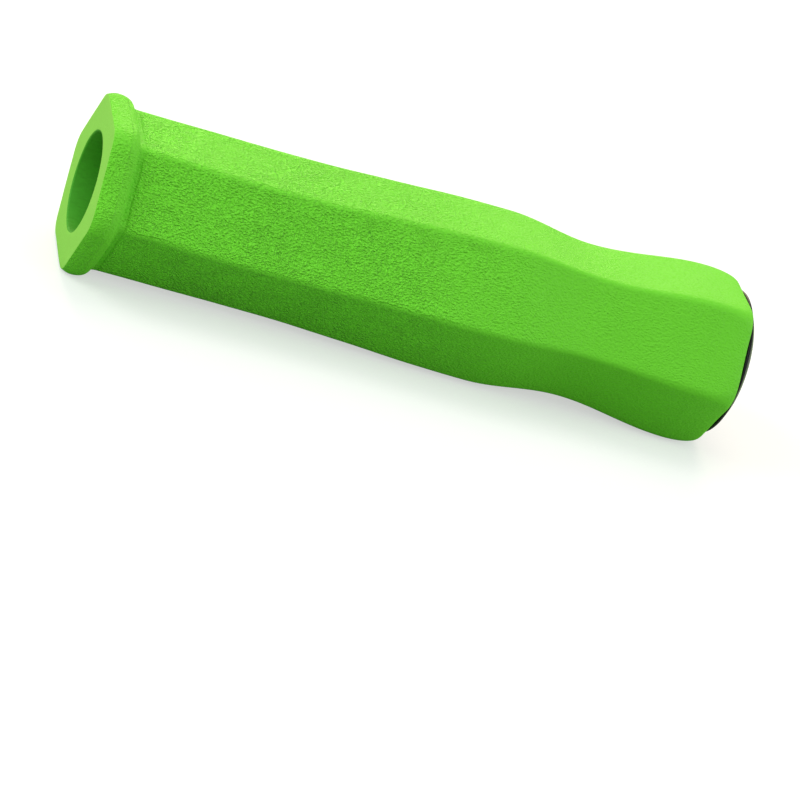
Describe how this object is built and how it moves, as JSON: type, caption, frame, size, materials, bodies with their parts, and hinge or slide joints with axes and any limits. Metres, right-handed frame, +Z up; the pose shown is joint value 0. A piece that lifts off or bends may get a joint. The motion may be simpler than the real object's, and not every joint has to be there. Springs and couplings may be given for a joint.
{
  "type": "bicycle handlebar grip",
  "caption": "Six-sided foam handlebar grip with an inner flange, a palm swell, a flared butt and a push-in black end plug.",
  "frame": {"origin": "on the bore's axis, halfway between the flange's end face and the plug's face", "axes": "+X along the bore from the flange to the end plug, +Z up, square to the upper and lower flats"},
  "size_m": [0.1378, 0.0364, 0.0324],
  "materials": {
    "green_foam": "matte closed-cell sponge foam, moulded skin with a fine pebbled grain, smooth where it is cut at the flange and in the bore",
    "black_plastic": "moulded black plastic, satin face with a glossier sloping border"
  },
  "bodies": {
    "root": {"foam_sleeve": "green_foam", "end_plug": "black_plastic"}
  },
  "joints": []
}
